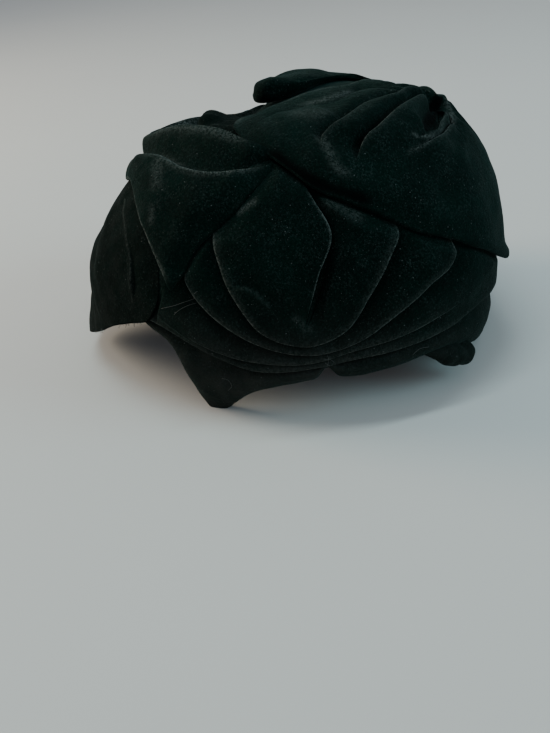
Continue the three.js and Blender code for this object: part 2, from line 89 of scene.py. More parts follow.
def soft_min(a, b):
    """The lower of two, rounded where they cross."""
    return 0.5 * (a + b - np.sqrt((a - b) ** 2 + SOFTNESS**2))


def apart(a, b):
    return np.linalg.norm(a - b, axis=-1)


def unit(ways):
    return ways / np.maximum(np.linalg.norm(ways, axis=-1, keepdims=True), 1e-6)


def spaced(rows, count):
    return np.linspace(0, rows - 1, count).round().astype(int)


def from_front(az):
    """Degrees round from the front, the same on both sides."""
    return np.abs((az + 180) % 360 - 180)


def both_sides(place):
    """The same places, with those on the left mirrored to the right."""
    return np.stack([from_front(place[..., 0]), place[..., 1]], -1)


def dome_point(place, lift=0.0):
    """Points, in mm, at places on the dome and lifted off it."""
    az, el = place[..., 0], place[..., 1]
    a, e = np.radians(az), np.radians(el)
    way = np.stack([-np.cos(e) * np.sin(a), -np.cos(e) * np.cos(a), np.sin(e)], -1)
    plan = np.abs(way[..., 1] / HALF_LENGTH) ** PLAN_POWER + np.abs(way[..., 0] / HALF_WIDTH) ** PLAN_POWER
    total = plan ** (RISE_POWER / PLAN_POWER) + np.abs(way[..., 2] / HEIGHT) ** RISE_POWER
    reach = total ** (-1 / RISE_POWER) + lift
    for tuck in TUCKS:
        beside = bell(from_front(az) - tuck["az"], tuck["width"])
        reach = reach - tuck["depth"] * beside * bell(el, tuck["rise"])
    for hollow in HOLLOWS:
        reach = reach - hollow["depth"] * bell(apart(to_plan(place), hollow["spot"]), hollow["width"])
    return way * reach[..., None] + [0, DOME_Y, 0]


def to_plan(place):
    """The dome seen from above: degrees from the pole, to the front and to the wearer's right."""
    place = np.asarray(place, float)
    out, a = 90 - place[..., 1], np.radians(place[..., 0])
    return np.stack([out * np.cos(a), out * np.sin(a)], -1)


def from_plan(spot):
    u, v = spot[..., 0], spot[..., 1]
    return np.stack([np.degrees(np.arctan2(v, u)), 90 - np.hypot(u, v)], -1)


def spline(rows, t):
    """A smooth curve through a table's rows, t from 0 at the first to 1 at the last."""
    rows = np.asarray(rows, float)
    last = len(rows) - 1
    k = np.minimum((t * last).astype(int), last - 1)
    f = (t * last - k)[:, None]
    a, b, d, e = rows[np.maximum(k - 1, 0)], rows[k], rows[k + 1], rows[np.minimum(k + 2, last)]
    return b + 0.5 * f * (d - a + f * (2 * a - 5 * b + 4 * d - e + f * (3 * (b - d) + e - a)))


def bump_at(place, centre, high, width):
    """A bump round one place, its width in degrees."""
    return bump(apart(to_plan(place), to_plan(centre)), high, width)


def interp_rows(at, run, rows):
    """A table's rows in between, where the rows given stand at run."""
    return np.stack([np.interp(at, run, column) for column in rows.T], -1)


def smooth_line(rows, count):
    """The same curve with its points evenly spaced."""
    fine = spline(rows, np.linspace(0, 1, 12 * len(rows)))
    run = np.concatenate([[0], np.cumsum(apart(fine[1:], fine[:-1]))])
    return interp_rows(np.linspace(0, run[-1], count), run, fine)


def plan_line(rows, count=24):
    return smooth_line(to_plan(rows), count)


def closed(outline):
    return np.vstack([outline, outline[:1]])


def nearest(line, spots):
    """Each spot's distance in mm from a line in the plan, its side, 1 to the right, and how far along."""
    best = np.full(spots.shape[:-1], np.inf)
    side, along = np.ones_like(best), np.zeros_like(best)
    for i, (a, b) in enumerate(zip(line[:-1], line[1:])):
        run = b - a
        off = spots - a
        f = np.clip(off @ run / (run @ run), 0, 1)
        gap = off - f[..., None] * run
        distance = np.hypot(gap[..., 0], gap[..., 1]) * MM_PER_DEGREE
        closer = distance < best
        best = np.where(closer, distance, best)
        side = np.where(closer, np.sign(run[1] * gap[..., 0] - run[0] * gap[..., 1]), side)
        along = np.where(closer, (i + f) / (len(line) - 1), along)
    return best, side, along


def outside(outline, spots):
    """How far each spot lies outside a closed outline in the plan, in mm, and 0 within it."""
    ring = closed(outline)
    within = np.zeros(spots.shape[:-1], bool)
    u, v = spots[..., 0], spots[..., 1]
    for a, b in zip(ring[:-1], ring[1:]):
        if a[1] != b[1]:
            crosses = (a[1] > v) != (b[1] > v)
            within ^= crosses & (u < (b[0] - a[0]) * (v - a[1]) / (b[1] - a[1]) + a[0])
    return np.where(within, 0, nearest(ring, spots)[0])


def ripple(points, size, seed):
    """A smooth random field, mostly between -1 and 1, with swells about size mm apart."""
    rng = np.random.default_rng(seed)
    total = 0
    for _ in range(WAVES):
        way = rng.normal(size=3)
        way *= 2 * np.pi / (size * rng.uniform(0.7, 1.5) * np.linalg.norm(way))
        total = total + np.sin(points @ way + rng.uniform(0, 2 * np.pi))
    return total * np.sqrt(2 / WAVES)


# ---- outlines of the pieces, [azimuth, elevation]
DRAPE_EDGE = [
    [0, 21], [10, 21.5], [17, 23], [27, 27.5], [36, 32], [43, 35], [56, 40.5], [64, 44.5], [75, 49.5],
    [84, 53], [91, 57], [98, 60.3],
]
DRAPE_BACK = [[105, 62.6], [114, 66.2], [122, 69], [129, 71.3], [137, 75], [146, 79.5], [158, 84]]
GATHER = [0, 58]
WRAP_TAIL = [[98, 58], [109, 49], [119, 41.8], [124.6, 34.4], [136, 42.8], [150, 49.5], [180, 48]]
FLAP_SIDE = [[150, 53], [136, 47], [129.5, 38], [129, 31], [131.5, 25], [135, 22.5], [150, 18], [180, 0]]


def mirrored(rows, whole=0):
    """Rows backwards and mirrored from side to side, about the back where whole is 360."""
    return [[whole - row[0], *row[1:]] for row in reversed(rows)]


def there_and_back(rows):
    """A line from the twist on the right, across the centre back to the twist on the left."""
    return rows + mirrored(rows[:-1], 360)


drape_outline = to_plan(DRAPE_EDGE + DRAPE_BACK + mirrored(DRAPE_BACK) + mirrored(DRAPE_EDGE)[:-1])
wrap_outline = to_plan(WRAP_TAIL + [[180, 66], [150, 69], [125, 69], [108, 66]])
flap_outline = to_plan(FLAP_SIDE + [[180, 52]])
loop_outline = np.array([
    [24, -13], [16, -15.5], [9, -13.5], [3.5, -9], [-2, -6.5], [-6, -5.5], [-8.5, -9],
    [-8.5, -15], [-5, -21], [3, -25.5], [13, -26], [21, -23], [25, -18],
], float)


# ---- soft folds and creases laid over a surface
FOLD_COLUMNS = "line high wide valley fades"


def folds(rows, place):
    """The height that a table of folds adds at each place.

    A fold is high mm at its line and falls off over wide mm. Its valley is [side, cliff, deep, reach]:
    on that side, 1 to the right of the line's run, it drops over cliff mm into a dip of deep mm that
    fades over reach mm. fades are the shares of the line over which it rises and dies away.
    """
    spots = to_plan(place)
    total = np.zeros(spots.shape[:-1])
    for row in rows:
        high, (rises, dies) = row["high"], row.get("fades", [0.15, 0.2])
        distance, side, along = nearest(plan_line(row["line"]), spots)
        crest = high * bell(distance, row["wide"])
        if row.get("valley"):
            valley, cliff, deep, reach = row["valley"]
            dip = -deep * bell(np.maximum(distance - cliff, 0), reach)
            crest = np.where(side == valley, mix(high, dip, step(distance, 0, cliff)), crest)
        total += crest * plateau(along, 0, rises, 1 - dies, 1)
    return total


# ---- one ply of a pleated sheet
ROLL_STEPS, UNDER_STEPS = 8, 2
UNDER_RUN, UNDER_DROP = 2.0, 0.15  # how far a rolled fold runs back beneath itself, and sinks there
TUCK_UNDER = 3.2  # how far a ply starts beneath the fold before it
FLAT_RUN = 1.5  # the same stretch of cloth where the fold has died away
MOST = {"roll": 0.22, "flat": 0.2, "under": 0.3, "tuck": 0.35}  # each as a share of its ply's width
ROLL_GAP, LEAST_ROLL = 0.4, 0.1
BESIDE_ROLL_WEAR_AND_HIGHLIGHT = {"amount": 0.12, "width": 1.2}  # how pale a ply is painted beside its roll, as worn pile and as a highlight


def roll_radius(width, depth, roll):
    fits = np.maximum((depth - ROLL_GAP) / 2, LEAST_ROLL)
    return np.minimum(np.minimum(roll, MOST["roll"] * width), fits)


def ply(row, width, foot, top, radius, tucked, folded, start=0.0, least_reach=0.0):
    """Rows of (mm from the fold before, lift, how pale its fold's crest is painted, as worn pile and as a
    highlight) across one ply.

    tucked says how far the ply starts under the fold before, and folded how far it rolls over at its
    own, both 0 to 1 along the fold. The climb takes reach mm, and a higher power starts it slower.
    """
    reach = np.maximum(row["reach"], least_reach)
    begin = start - np.minimum(TUCK_UNDER, MOST["tuck"] * width) * tucked
    end = width - mix(np.minimum(FLAT_RUN, MOST["flat"] * width), radius, folded)
    rows = []
    for q in np.linspace(0, 1, row["count"]):
        x = mix(begin, end, q)
        climb = 1 - (1 - np.clip(x / np.minimum(reach, end), 0, 1) ** row.get("power", 1)) ** 2
        # painted pale beside the roll, as worn pile and as a highlight
        worn = BESIDE_ROLL_WEAR_AND_HIGHLIGHT["amount"] * folded * bell(end - x, BESIDE_ROLL_WEAR_AND_HIGHLIGHT["width"])
        rows.append((x, mix(foot, top, climb), worn))
    steps = ROLL_STEPS + UNDER_STEPS
    for i in range(1, steps + 1):
        turn = np.pi * min(i / ROLL_STEPS, 1)
        back = max(i - ROLL_STEPS, 0) / UNDER_STEPS
        run = np.minimum(UNDER_RUN, MOST["under"] * width) * back
        x = mix(mix(end, width, i / (steps + 1)), width - radius + radius * np.sin(turn) - run, folded)
        lift = mix(top, top - radius + radius * np.cos(turn) - UNDER_DROP * back, folded)
        # the roll's edge is painted pale, as worn pile and as a highlight
        rows.append((x, lift, folded * max(np.sin(turn), 0) ** 2 * (back == 0)))
    return rows


def spacing(a, b):
    """The mm between two lines of places, and never quite none."""
    return np.maximum(apart(dome_point(a), dome_point(b)), 0.05)


def laid(made, a, b, width, shown=1):
    """A ply's rows as (place, lift, wear and painted highlight), laid from line a towards line b."""
    return [(mix(a, b, (x / width)[:, None]), lift, worn * shown) for x, lift, worn in made]


# ---- materials
# painted bounce light: a pale grey painted into the pile low down, for light thrown up by the floor
PAINTED_BOUNCE_GREY = (0.032, 0.031, 0.028)
PAINTED_BOUNCE_HEIGHTS = (-0.004, 0.062)  # where the painted bounce light is strongest and where it ends, in metres
PAINTED_BOUNCE_DEPTHS, PAINTED_BOUNCE_IN_FRONT = (-0.07, 0.03), 0.42  # from front to back in metres, and its share in front
# cells to the metre, a speck's reach in its cell, how many cells are bare, and the colour
LINT = table(
    "scale reach bare colour",
    (900, 0.16, 0.6, (0.024, 0.030, 0.027)),
    (430, 0.09, 0.62, (0.062, 0.07, 0.066)),
)
BODY, PALE, SHEEN_TINT = (0.0004, 0.0034, 0.0024), (0.082, 0.091, 0.083), (0.5, 1.0, 0.9)
SHEEN_ROUGHNESS = 0.28
# the second share darkens the body as painted shade, in holes and under edges
LIT_SHARE, PAINTED_SHADE_SHARE, TUFT_SHARE = 3.4, 0.2, (0.28, 0.38, 0.38)  # of the body or the pale colour
NAP = {"coarse": 0.45, "shown": 0.6}
GRAIN_SHARE = 0.55
BUMP = {"Strength": 0.75, "Distance": 0.0006}
SPECULAR = 0.03
# how dark the shaded copy of the velvet is: painted shade on the flap and the cap
SHADED_FLAT_SHARE = 0.6


def scaled(colour, share):
    return tuple(c * part for c, part in zip(colour, np.broadcast_to(share, 3)))


class Finish:
    """A material being made. Each method that is named for a node adds one and gives its output."""

    def __init__(self, name):
        self.material = bpy.data.materials.new(name)
        self.material.use_nodes = True
        self.shader = self.material.node_tree.nodes["Principled BSDF"]
        self.spot = self.add("TexCoord", {})["Object"]

    def fill(self, node, inputs):
        """Sets a node's inputs, each a number, a colour or another node's output to link to."""
        for key, value in inputs.items():
            if isinstance(value, bpy.types.NodeSocket):
                self.material.node_tree.links.new(value, node.inputs[key])
            else:
                node.inputs[key].default_value = (*value, 1) if isinstance(value, tuple) else value
        return node.outputs

    def new(self, kind):
        return self.material.node_tree.nodes.new("ShaderNode" + kind)

    def add(self, kind, inputs):
        return self.fill(self.new(kind), inputs)

    def noise(self, scale, detail=3.0, roughness=0.55):
        inputs = {"Vector": self.spot, "Scale": scale, "Detail": detail, "Roughness": roughness}
        return self.add("TexNoise", inputs)["Fac"]

    def ramp(self, source, low, high, to_low=0.0, to_high=1.0):
        node = self.new("MapRange")
        node.interpolation_type = "SMOOTHSTEP"
        inputs = {"Value": source, "From Min": low, "From Max": high, "To Min": to_low, "To Max": to_high}
        return self.fill(node, inputs)["Result"]

    def math(self, operation, *values):
        node = self.new("Math")
        node.operation = operation
        return self.fill(node, dict(enumerate(values)))[0]

    def times(self, a, b):
        return self.math("MULTIPLY", a, b)

    def blend(self, factor, a, b):
        node = self.new("Mix")
        node.data_type = "RGBA"
        return self.fill(node, {"Factor": factor, 6: a, 7: b})[2]


def velvet(name, body, pale, sheen, painted_bounce):
    """Velvet: near black straight on and paler where it turns away, with lint in it; its colour also holds
    painted highlights and wear on folds, painted shade and painted bounce light.
    """
    cloth = Finish(name)
    noise, ramp, times, blend = cloth.noise, cloth.ramp, cloth.times, cloth.blend

    # the nap lies in soft patches, a few mm to a few cm across
    patches = ramp(noise(45, 4, 0.6), 0.38, 0.72)
    nap = cloth.math("MULTIPLY_ADD", patches, NAP["coarse"], ramp(noise(1300, 4, 0.85), 0.44, 0.68))
    tint = blend(times(nap, NAP["shown"]), body, scaled(body, LIT_SHARE))
    mark = cloth.new("Attribute")
    mark.attribute_name = "crest"
    crest = mark.outputs["Fac"]
    # the crest attribute paints fold edges pale, as worn pile and as a highlight where they catch the light
    tint = blend(times(crest, ramp(noise(900, 4, 0.95), 0.43, 0.6, 0.04, 1.45)), tint, pale)
    # single tufts of pile that catch the light
    tufts = times(ramp(noise(1150, 3, 0.95), 0.5, 0.64), ramp(noise(120, 3, 0.6), 0.35, 0.7, 0.15, 0.6))
    tint = blend(tufts, tint, scaled(pale, TUFT_SHARE))

    # painted bounce light: the pile is greyed towards the rim, less at the front, for light from the floor
    # below
    axes = cloth.add("SeparateXYZ", {"Vector": cloth.spot})
    bounce_mask = ramp(axes["Z"], *PAINTED_BOUNCE_HEIGHTS, painted_bounce, 0.0)
    bounce_mask = times(bounce_mask, ramp(axes["Y"], *PAINTED_BOUNCE_DEPTHS, PAINTED_BOUNCE_IN_FRONT, 1.0))
    tint = blend(times(bounce_mask, ramp(noise(70, 4, 0.7), 0.3, 0.7, 0.5, 1.2)), tint, PAINTED_BOUNCE_GREY)

    # lint: sparse specks of several sizes
    for lint in LINT:
        cells = cloth.add("TexVoronoi", {"Vector": cloth.spot, "Scale": lint["scale"]})
        chance = cloth.add("SeparateColor", {"Color": cells["Color"]})[0]
        chance = times(chance, ramp(noise(55, 2), 0.36, 0.6, 0.7, 1.1))
        speck = cloth.math("LESS_THAN", cells["Distance"], lint["reach"])
        tint = blend(times(cloth.math("GREATER_THAN", chance, lint["bare"]), speck), tint, lint["colour"])
    # painted shade: a negative crest darkens the pile nearly to black in holes and under edges, where shade
    # falls
    tint = blend(ramp(crest, -0.3, 0.0, 1.0, 0.0), tint, scaled(body, PAINTED_SHADE_SHARE))

    # pile: fine grain, with small leaning patches under it
    grain = cloth.math("ADD", times(noise(1500, 3, 0.8), GRAIN_SHARE), noise(420, 3, 0.6))
    cloth.fill(cloth.shader, {
        "Base Color": tint, "Roughness": ramp(noise(180), 0.3, 0.7, 0.86, 0.98),
        "Normal": cloth.add("Bump", {**BUMP, "Height": grain})["Normal"], "Specular IOR Level": SPECULAR,
        "Sheen Weight": sheen, "Sheen Roughness": SHEEN_ROUGHNESS, "Sheen Tint": SHEEN_TINT,
    })
    return cloth.material


def plain(name, colour, roughness, grain_scale, spread):
    surface = Finish(name)
    grain = surface.noise(grain_scale, 4, 0.5)
    tint = surface.blend(grain, scaled(colour, 1 - spread), scaled(colour, 1 + spread))
    surface.fill(surface.shader, {"Base Color": tint, "Roughness": roughness})
    return surface.material


black_velvet = velvet("black_velvet", BODY, PALE, sheen=0.042, painted_bounce=0.62)
# a darker copy of the velvet for the flap and the cap: painted shade where they sit darker, and a nap that
# lies down and away
shaded_flat_nap = velvet(
    "shaded_flat_nap_velvet", scaled(BODY, SHADED_FLAT_SHARE), scaled(PALE, SHADED_FLAT_SHARE), sheen=0.008, painted_bounce=0.15,
)
thread_finish = plain("thread", (0.06, 0.064, 0.059), 0.8, 900, 0.2)


# bands of painted highlight, where the pile catches the light, and of painted shade where the amount
# is negative, under edges and in holes; wide is in mm
PAINTED_LIGHT_BANDS = table(
    "wide amount line",
    (4.5, 0.2, [[94, 74], [84, 73.5], [76, 72.5], [66, 70]]),
    (1.6, 0.4, [[84, 79], [64, 79.5], [44, 78.5], [21, 77.4], [5, 75]]),
    (1.5, 0.28, [[79, 65], [78.5, 62], [77.4, 58], [76, 55], [72, 53]]),
    (2.6, 0.2, [[84, 50.6], [79.3, 49.9], [75.6, 48], [72, 45]]),
    (1.2, 0.4, [[108, 48.6], [105, 50], [101, 51.2]]),
    (1.4, 0.16, [[94, 29.5], [91.5, 28.2], [90.3, 26.6], [88, 26.4]]),
    (0.7, 0.16, [[107, 35.2], [103.5, 34.8], [100.5, 33.2], [98, 30.5]]),
    (2.0, -0.3, [[104, 63], [97, 60.4], [92, 57.6], [88, 55.7], [83, 53.4], [77, 51], [66, 47]]),
    (1.2, 0.3, [[128, 70.8], [132, 73.4], [138, 76.5]]),
    (2.6, 0.34, [[182, 50.5], [170, 52.8], [161, 54.4], [152, 55.6]]),
    (1.5, 0.42, [[158, 55], [141, 57], [130, 56], [118, 55.6], [107, 57], [98, 59.5]]),
    (2, 0.28, [[142, 55.5], [138, 54], [135, 51.5], [134, 49]]),
    (1.4, 0.22, [[133, 47.6], [132.4, 45.4], [132, 43]]),
    (0.6, 0.4, [[152, 50], [143, 46.4], [136, 42.9], [130, 38.6], [125.6, 35.2], [123.5, 34]]),
    (2.8, 0.4, [[184, 56.8], [174, 58.8], [164, 61], [154, 62.6]]),
    (1.9, 0.36, [[166, 60.5], [154, 62.8], [140, 64.4], [128, 64.8], [117, 64], [104, 62]]),
    (3, 0.1, [[176, 44], [170, 42], [164, 36]]),
    (6, 0.05, [[150, 30], [135, 24], [120, 20], [100, 18], [80, 19], [62, 21]]),
    (5, 0.05, [[118, 5], [105, 12], [90, 15], [60, 16], [40, 14]]),
    (5, 0.06, [[16, 23], [12, 32], [8, 42]]),
    (5, 0.2, [[44, 6], [50, 8]]),
)
# the same on the wearer's right only
PAINTED_LIGHT_BANDS_RIGHT = table(
    "wide amount line",
    (0.9, 0.35, [[-22, 69], [-24, 71.5], [-18, 74], [-9, 78], [2, 84], [74, 85], [105, 81]]),
    (0.7, 0.5, [[46, 58], [43, 56.9], [38, 55.8], [34, 55.6]]),
    (1.2, 0.5, [[-6, 56.4], [-2.6, 56.1], [0.5, 55.6], [7, 55.2], [12, 55], [16, 54.8]]),
    (1.9, -0.7, [[-6, 57.4], [-3, 57.8], [0, 58.1], [6, 58.5], [14, 58.7], [24, 58.8], [33, 58.8]]),
    (1.3, 0.25, [[4, 56.4], [15, 57.2], [25, 56.8], [33, 56]]),
    (0.8, 0.35, [[54, 54.6], [46, 54.9], [38, 55.2], [27, 55.4], [12, 54.4]]),
)


# the painted highlight and painted shade of these bands, added to the crest attribute
def painted_light_bands(place):
    total = 0
    for rows, spots in ((PAINTED_LIGHT_BANDS, to_plan(both_sides(place))), (PAINTED_LIGHT_BANDS_RIGHT, to_plan(place))):
        for row in rows:
            distance, _, along = nearest(plan_line(row["line"], 20), spots)
            total = total + row["amount"] * bell(distance, row["wide"]) * plateau(along, 0, 0.2, 0.8, 1)
    return total


# ---- meshes
LOWEST = 0.2  # how near the table cloth may come, in mm
HEM_STEPS = 6


def new_object(name, data):
    made = bpy.data.objects.new(name, data)
    bpy.context.scene.collection.objects.link(made)
    return made


def smooth_mesh(name, points, faces):
    points[:, 2] = np.maximum(points[:, 2], LOWEST)
    mesh = bpy.data.meshes.new(name)
    mesh.from_pydata((points * MM).tolist(), [], faces)
    mesh.polygons.foreach_set("use_smooth", [True] * len(mesh.polygons))
    mesh.update()
    return mesh


def ringed_piece(name, rings, crest, poles=False):
    """A closed body through a row of closed rings of points in mm.

    An end is one face over its ring or, with poles, the one point that the ring shrinks to.
    """
    count, around = rings.shape[:2]
    order = np.arange(count * around).reshape(count, around)
    after = np.roll(order, -1, axis=1)
    quads = np.stack([order[:-1], after[:-1], after[1:], order[1:]], -1)
    if poles:
        for end in (0, -1):
            rings[end] = rings[end].mean(axis=0)
        used = np.ones(order.shape, bool)
        used[0, 1:] = used[-1, 1:] = False
        quads = (np.cumsum(used) - 1)[quads]
        faces = quads[1:-1].reshape(-1, 4).tolist()
        faces += quads[0][:, [0, 2, 3]].tolist() + quads[-1][:, [2, 0, 1]].tolist()
        points, worn = rings[used], crest[used]
    else:
        faces = quads.reshape(-1, 4).tolist() + [order[0][::-1].tolist(), order[-1].tolist()]
        points, worn = rings.reshape(-1, 3), crest.reshape(-1)
    mesh = smooth_mesh(name, points, faces)
    mesh.attributes.new("crest", "FLOAT", "POINT").data.foreach_set("value", np.clip(worn, -1, 1))
    if sum(face.area * face.normal.dot(face.center) for face in mesh.polygons) < 0:
        mesh.flip_normals()
    return new_object(name, mesh)


def finish_piece(piece, node, material=black_velvet):
    piece.data.materials.append(material)
    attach(piece, "root")
    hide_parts(node)
    return piece


def hem(upper, under, before):
    """Points round a sheet's edge, from its upper to its under face. before is the row inside it."""
    middle, half = (upper + under) / 2, (upper - under) / 2
    thick = np.linalg.norm(half, axis=-1, keepdims=True)
    turns = np.pi * np.arange(1, HEM_STEPS) / HEM_STEPS
    return np.stack([middle + half * np.cos(t) + unit(upper - before) * thick * np.sin(t) for t in turns])


def shell_piece(name, outer, inner, worn, inset, start_wear_and_highlight=None, poles=False):
    """A closed body between a sheet's two faces, with a hem round its last row.

    inset is how many rows in the hem takes its way out from. The argument after it is the paleness
    painted on a second hem, round the first row, where there is one: worn pile and painted highlight.
    """
    rows = [outer, hem(outer[-1], inner[-1], outer[-1 - inset]), inner[::-1]]
    if start_wear_and_highlight is not None:
        rows.append(hem(outer[0], inner[0], outer[inset])[::-1])
    skin = np.concatenate(rows)
    crest = np.zeros(skin.shape[:2])
    crest[: len(worn)] = worn
    if start_wear_and_highlight is not None:
        crest[1 - HEM_STEPS:] = start_wear_and_highlight
    if poles:
        return ringed_piece(name, skin, crest, poles)
    return ringed_piece(name, skin.transpose(1, 0, 2), crest.T)


# ---- side swags
SEAM_AZ = 0.12
EVERYWHERE = [-2, -1, 2, 3]  # a plateau that takes in a whole line
# for each pleat, a plateau along its line says where its fold's edge is painted pale, as worn pile and as a
# highlight, left off where the edge lies in shade
PLEATS = table(
    "top line count reach power worn fold",
    (4, [[101, 61], [89.5, 56], [85, 50.5], [81.6, 44], [86, 37], [90, 27.5], [83.9, 38.4], [82.1, 45.8],
     [84.5, 50], [87.5, 54.5], [92, 59]], 34, 14, 0.9, [0.14, 0.28, 0.4, 0.48]),
    (4.2, [[119, 52], [115, 46], [112, 40], [108, 33], [101, 25.5], [90, 22.3], [80, 25], [74, 31],
     [68, 37], [63, 43.5], [67, 53]], 18, 9, 1, [0.08, 0.16, 0.82, 0.95]),
    (3.2, [[129, 48], [122, 42], [121.5, 35], [114, 28.5], [103, 23], [90, 20], [78, 21.5], [67, 26],
     [57, 30], [48, 33.5], [45, 45]], 18, 9),
    (2.2, [[148, 32], [139, 27.5], [130, 26], [119, 21.6], [105, 18.5], [90, 17.7], [79, 19.5], [67, 20.6],
     [56, 21.8], [42, 24], [SEAM_AZ, 34]], 18, 9, 1, EVERYWHERE, [0.26, 0.38, 0.78, 0.88]),
    (1.2, [[148, 28.5], [139, 24.6], [129, 23.4], [117, 19.8], [104, 15.8], [89, 16.2], [78, 17.2],
     [66, 17.4], [53, 17.8], [33, 19], [SEAM_AZ, 15.5]], 24, 7),
    (-2.2, [[148, 27], [138, 22.4], [128, 17.2], [120.5, -0.8], [106, 8.8], [88, 12.6], [77, 12.2],
     [65, 12.4], [50, 12.2], [27, 4.8], [SEAM_AZ, 1]]),
)
SWAG_COLUMNS = 380
SWAG_ROLL = 1.8
GROOVE = {"share": 0.5, "least": 1.8, "most": 5.4}  # a groove's depth, from the width of its ply
CENTRE_VALLEY = 6.0  # the depth of the valley beside the centre panel
SWAG_INNER = -4.7
SWAG_FLOOR = -4.0
REACH_SHARE = 0.65
NOTCH = {"az": 85.3, "width": 2.0, "rise": 2.0}
FRONT_DIP = {"width": 17, "depth": 3.2}
PANEL_ROLL = 1.4
RIM_SWELL = 2.2  # how far the lowest ply stands out at its middle
# how high a swag comes under another piece, and how fast it may rise outside it
UNDER_DRAPE = {"lift": -0.2, "gap": 0.5, "slope": 0.75}
UNDER_FLAP = {"lift": 0.4, "slope": 3.0}
# the least paleness painted on a fold's edge, as wear and as a highlight
LEAST_WEAR_AND_HIGHLIGHT = 0.15
SWAG_FOLDS = table(
    FOLD_COLUMNS,
    # the turned top of the first pleat's front part
    ([[84, 51], [79, 50], [75, 47], [71, 42.5]], 1.5, 4, [1, 2.2, 1.6, 4]),
    # the dent at the foot of the centre panel
    ([[107, 35], [103.5, 34.6], [100.5, 33], [98, 30.5]], 0.9, 2.5, [1, 1.0, 1.0, 3]),
    # slack in the panels
    ([[106, 46], [101, 40], [96, 33]], 0.8, 7),
    ([[78, 44], [77, 37], [80, 30]], 0.7, 4),
    ([[112, 10], [118, 14], [126, 19]], 0.8, 5),
    ([[30, 12], [45, 15.5], [60, 15.5]], 0.6, 3),
)


def swag_cap(place):
    """The highest that a swag may come under the pieces that lie on it."""
    spots = to_plan(place)
    free = np.minimum(outside(drape_outline, spots), outside(wrap_outline, spots))
    under_drape = UNDER_DRAPE["lift"] + UNDER_DRAPE["slope"] * np.maximum(0, free - UNDER_DRAPE["gap"])
    return np.minimum(under_drape, UNDER_FLAP["lift"] + UNDER_FLAP["slope"] * outside(flap_outline, spots))


def pleated(row, s):
    """How far a pleat is folded along its line: some begin or fade out on the way."""
    return plateau(s, *row.get("fold", EVERYWHERE))


# how pale a fold's edge is painted along its line, as worn pile and as a highlight
def fold_wear_and_highlight(row, s):
    return mix(LEAST_WEAR_AND_HIGHLIGHT, 1, plateau(s, *row.get("worn", EVERYWHERE)))


def groove(width):
    return np.clip(GROOVE["share"] * width, GROOVE["least"], GROOVE["most"])


def make_swag(name, side, seed):
    s = np.linspace(0, 1, SWAG_COLUMNS)
    lines = [spline(row["line"], s) for row in PLEATS]
    widths = [spacing(a, b) for a, b in zip(lines[:-1], lines[1:])]
    last = len(widths) - 1
    panel_edge = 1 - step(s, 0.42, 0.5)  # where row 0 is the centre panel's own rolled edge
    past = step(s, 0.5, 0.57)  # and where it is the valley beside it

    # the centre panel's rolled edge, or the hidden start of the valley's far side
    radius = PANEL_ROLL * panel_edge
    first = []
    for i in range(ROLL_STEPS + 1):
        share = i / ROLL_STEPS
        turn = np.pi * (1 - share)
        x = mix(0.12 * i, radius * (1 - np.sin(turn)), panel_edge) - TUCK_UNDER * past * (1 - share)
        lift = PLEATS[0]["top"] - radius + radius * np.cos(turn) - CENTRE_VALLEY * past
        # the rolled edge is painted pale, as worn pile and as a highlight
        first.append((x, lift, panel_edge * np.sin(turn)))
    rows = laid(first, lines[0], lines[1], widths[0], fold_wear_and_highlight(PLEATS[0], s))

    for k, width in enumerate(widths):
        row, after = PLEATS[k], PLEATS[k + 1]
        tucked, folded = pleated(row, s) * (k > 0), pleated(after, s) * (k < last)
        foot = row["top"] - (groove(width) * tucked if k else CENTRE_VALLEY * past)
        begin = 0.0 if k else np.maximum(first[-1][0], 0) + 0.15
        radius = roll_radius(width, groove(widths[min(k + 1, last)]), SWAG_ROLL)
        foot, least_reach = np.maximum(foot, SWAG_FLOOR), REACH_SHARE * width
        made = ply(row, width, foot, after["top"], radius, tucked, folded, begin, least_reach)
        if k == last:
            made = [(x, y + RIM_SWELL * np.sin(np.pi * np.clip(x / width, 0, 1)), w) for x, y, w in made]
        rows += laid(made, lines[k], lines[k + 1], width, fold_wear_and_highlight(after, s))
    place, lift, crest = (np.stack(column) for column in zip(*rows))

    # the lowest ply carries the notch at the tack and comes down round the front
    share = np.zeros((len(place), 1))
    share[-len(made):, 0] = np.linspace(0, 1, len(made))
    rise = NOTCH["rise"] * bell(place[..., 0] - NOTCH["az"], NOTCH["width"]) * (0.5 + share) * (share > 0)
    dip = FRONT_DIP["depth"] * share * bell(place[..., 0], FRONT_DIP["width"])
    place[..., 1] = np.maximum(place[..., 1] + rise - dip, 0)

    flat = dome_point(place)
    lift = lift + folds(SWAG_FOLDS, place)
    lift = lift + 0.30 * ripple(flat, 34, seed) + 0.12 * ripple(flat, 11, seed + 1)
    outer = dome_point(place * [side, 1], soft_min(lift, swag_cap(place)))
    # the inner face: fewer rows, flat against the cap
    inner = dome_point(place[spaced(len(place), 12)] * [side, 1], SWAG_INNER)
    return shell_piece(name, outer, inner, crest + painted_light_bands(place), 7)


